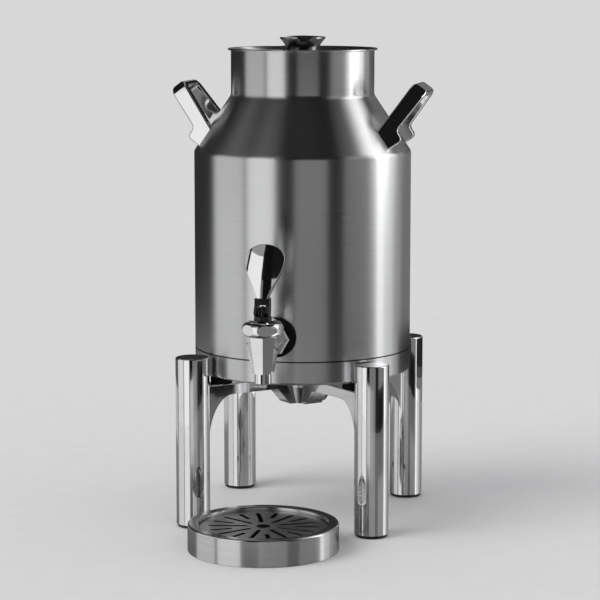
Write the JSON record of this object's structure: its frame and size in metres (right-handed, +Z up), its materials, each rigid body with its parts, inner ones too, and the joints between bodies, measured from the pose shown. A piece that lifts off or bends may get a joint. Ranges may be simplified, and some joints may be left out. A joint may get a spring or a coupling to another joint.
{
  "type": "beverage urn",
  "caption": "Milk-can shaped steel beverage urn with a lever tap at the front, standing on a chromed four-legged stand, with a round drip tray under the spout.",
  "frame": {"origin": "middle of the whole set's footprint on the table, stand and drip tray together", "axes": "+Z up, tap and drip tray towards -Y, the user's right hand side towards +X"},
  "size_m": [0.261, 0.3484, 0.489],
  "materials": {
    "brushed_steel": "brushed round the axis",
    "dark_steel": "dull stainless plate",
    "chrome": "bright plated",
    "dark_chrome": "dark plated",
    "screw_steel": "plain stainless",
    "black_plastic": "satin black",
    "black_rubber": "matt black",
    "clear_silicone": "milky silicone"
  },
  "bodies": {
    "stand": {"cross_frame": "chrome", "rest_pads": "black_rubber", "leg_back_right": "chrome", "leg_back_left": "chrome", "leg_front_left": "chrome", "leg_front_right": "chrome", "foot_back_right": "black_plastic", "foot_back_left": "black_plastic", "foot_front_left": "black_plastic", "foot_front_right": "black_plastic"},
    "can": {"outer_shell": "brushed_steel", "shoulder_shell": "brushed_steel", "neck_shell": "brushed_steel", "base_pan": "brushed_steel", "inner_vessel": "brushed_steel", "vessel_floor": "brushed_steel", "vessel_shoulder": "brushed_steel", "vessel_neck": "brushed_steel", "handle_right": "chrome", "handle_left": "chrome", "handle_screws": "screw_steel", "tap_washer": "black_rubber", "tap_spacer": "screw_steel", "tap_seal": "clear_silicone", "tap_nut": "chrome", "tap_shank": "chrome", "tap_body": "chrome", "tap_bonnet": "chrome", "tap_gland": "black_plastic", "return_spring": "screw_steel"},
    "lid": {"lid": "brushed_steel", "lid_skirt": "brushed_steel", "lid_seal": "clear_silicone", "lid_knob": "chrome", "knob_screw": "screw_steel"},
    "valve": {"valve_stem": "black_plastic", "seat_cup": "black_rubber"},
    "lever": {"lever_clevis": "dark_chrome", "lever_pin": "screw_steel", "lever_paddle": "chrome"},
    "tray": {"drip_tray": "brushed_steel"},
    "grid": {"drip_grid": "dark_steel"}
  },
  "joints": [
    {"name": "can_lift", "type": "slide", "parent": "stand", "child": "can", "axis": [0, 0, 1], "range_m": [0, 0.06]},
    {"name": "lid_lift", "type": "slide", "parent": "can", "child": "lid", "axis": [0, 0, 1], "range_m": [0, 0.08]},
    {"name": "stem_lift", "type": "slide", "parent": "can", "child": "valve", "axis": [0, 0, 1], "range_m": [0, 0.003], "deforming": ["return_spring"]},
    {"name": "lever_pull", "type": "hinge", "parent": "valve", "child": "lever", "pos_m": [0, -0.1008, 0.23335], "axis": [1, 0, 0], "range_deg": [0, 60], "stiffness_Nm_per_rad": 0.3, "springref_deg": -17.19},
    {"name": "tray_pull", "type": "slide", "parent": "stand", "child": "tray", "axis": [0, -1, 0], "range_m": [0, 0.12]},
    {"name": "grid_lift", "type": "slide", "parent": "tray", "child": "grid", "axis": [0, 0, 1], "range_m": [0, 0.05]}
  ],
  "couplings": [
    {"joint": "stem_lift", "follows": "lever_pull", "m_per_rad": 0.0028648}
  ]
}
